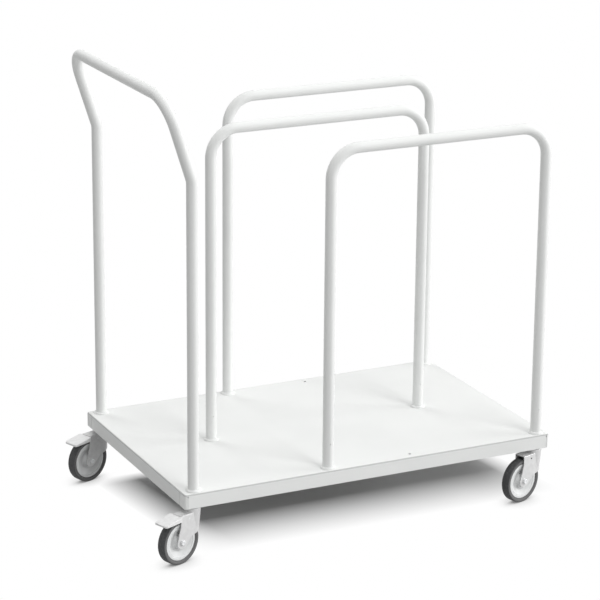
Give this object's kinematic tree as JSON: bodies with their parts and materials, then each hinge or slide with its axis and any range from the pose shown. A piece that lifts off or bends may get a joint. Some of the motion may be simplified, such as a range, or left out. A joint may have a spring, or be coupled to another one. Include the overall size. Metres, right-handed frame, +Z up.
{
  "type": "carton trolley",
  "caption": "Flat-deck carton trolley with upright tube hoops standing on the deck, an outward-leaning tube push handle, swivel casters, and foot brakes at the handle end.",
  "frame": {"origin": "on the floor, under the middle of the whole trolley with its casters and pedals as pictured", "axes": "+Z up; X along the deck with the push handle at -X; Y across the deck with the front at -Y"},
  "size_m": [1.1925, 0.7408, 1.2631],
  "materials": {
    "deck_coat": "satin powder coat, light grey",
    "tube_coat": "satin powder coat, light grey",
    "collar": "satin powder coat, light grey",
    "fork": "bright zinc plate on pressed steel",
    "pedal": "pale satin coat on pressed steel",
    "fixings": "zinc plate",
    "bearing": "hardened steel",
    "wheel_centre": "moulded light grey plastic",
    "tyre": "dark grey solid rubber",
    "brake_shoe": "hard rubber",
    "plugs": "moulded plastic"
  },
  "bodies": {
    "chassis": {"back_hoop": "tube_coat", "back_left_corner_plate": "deck_coat", "back_left_lower_race": "bearing", "back_left_upper_race": "bearing", "back_right_corner_plate": "deck_coat", "back_right_lower_race": "bearing", "back_right_upper_race": "bearing", "centre_channel": "deck_coat", "deck_tray": "deck_coat", "foot_bolts": "fixings", "foot_collars": "collar", "foot_washers": "fixings", "front_hoop": "tube_coat", "front_left_corner_plate": "deck_coat", "front_left_lower_race": "bearing", "front_left_upper_race": "bearing", "front_right_corner_plate": "deck_coat", "front_right_lower_race": "bearing", "front_right_upper_race": "bearing", "king_bolts": "fixings", "king_nuts": "fixings", "middle_hoop": "tube_coat", "push_handle": "tube_coat", "swivel_balls": "bearing", "tube_end_plugs": "plugs"},
    "front_left_caster": {"front_left_axle_bolt": "fixings", "front_left_axle_nut": "fixings", "front_left_axle_sleeve": "fixings", "front_left_fork": "fork", "front_left_pedal_pin": "fixings"},
    "front_left_wheel": {"front_left_tyre": "tyre", "front_left_wheel_centre": "wheel_centre"},
    "front_left_brake": {"front_left_brake_shoe": "brake_shoe", "front_left_pedal": "pedal"},
    "back_left_caster": {"back_left_axle_bolt": "fixings", "back_left_axle_nut": "fixings", "back_left_axle_sleeve": "fixings", "back_left_fork": "fork", "back_left_pedal_pin": "fixings"},
    "back_left_wheel": {"back_left_tyre": "tyre", "back_left_wheel_centre": "wheel_centre"},
    "back_left_brake": {"back_left_brake_shoe": "brake_shoe", "back_left_pedal": "pedal"},
    "front_right_caster": {"front_right_axle_bolt": "fixings", "front_right_axle_nut": "fixings", "front_right_axle_sleeve": "fixings", "front_right_fork": "fork"},
    "front_right_wheel": {"front_right_tyre": "tyre", "front_right_wheel_centre": "wheel_centre"},
    "back_right_caster": {"back_right_axle_bolt": "fixings", "back_right_axle_nut": "fixings", "back_right_axle_sleeve": "fixings", "back_right_fork": "fork"},
    "back_right_wheel": {"back_right_tyre": "tyre", "back_right_wheel_centre": "wheel_centre"}
  },
  "joints": [
    {"name": "front_left_swivel", "type": "hinge", "parent": "chassis", "child": "front_left_caster", "pos_m": [-0.47975, -0.30908, 0.147], "axis": [0, 0, 1], "continuous": true},
    {"name": "front_left_spin", "type": "hinge", "parent": "front_left_caster", "child": "front_left_wheel", "pos_m": [-0.52956, -0.32721, 0.0625], "axis": [0.342, -0.9397, 0], "continuous": true},
    {"name": "front_left_press", "type": "hinge", "parent": "front_left_caster", "child": "front_left_brake", "pos_m": [-0.50512, -0.31832, 0.1245], "axis": [0.342, -0.9397, 0], "range_deg": [0, 6]},
    {"name": "back_left_swivel", "type": "hinge", "parent": "chassis", "child": "back_left_caster", "pos_m": [-0.47975, 0.34591, 0.147], "axis": [0, 0, 1], "continuous": true},
    {"name": "back_left_spin", "type": "hinge", "parent": "back_left_caster", "child": "back_left_wheel", "pos_m": [-0.52956, 0.32779, 0.0625], "axis": [0.342, -0.9397, 0], "continuous": true},
    {"name": "back_left_press", "type": "hinge", "parent": "back_left_caster", "child": "back_left_brake", "pos_m": [-0.50512, 0.33668, 0.1245], "axis": [0.342, -0.9397, 0], "range_deg": [0, 6]},
    {"name": "front_right_swivel", "type": "hinge", "parent": "chassis", "child": "front_right_caster", "pos_m": [0.56425, -0.30908, 0.147], "axis": [0, 0, 1], "continuous": true},
    {"name": "front_right_spin", "type": "hinge", "parent": "front_right_caster", "child": "front_right_wheel", "pos_m": [0.51356, -0.32458, 0.0625], "axis": [0.2924, -0.9563, 0], "continuous": true},
    {"name": "back_right_swivel", "type": "hinge", "parent": "chassis", "child": "back_right_caster", "pos_m": [0.56425, 0.34591, 0.147], "axis": [0, 0, 1], "continuous": true},
    {"name": "back_right_spin", "type": "hinge", "parent": "back_right_caster", "child": "back_right_wheel", "pos_m": [0.51356, 0.33042, 0.0625], "axis": [0.2924, -0.9563, 0], "continuous": true}
  ]
}
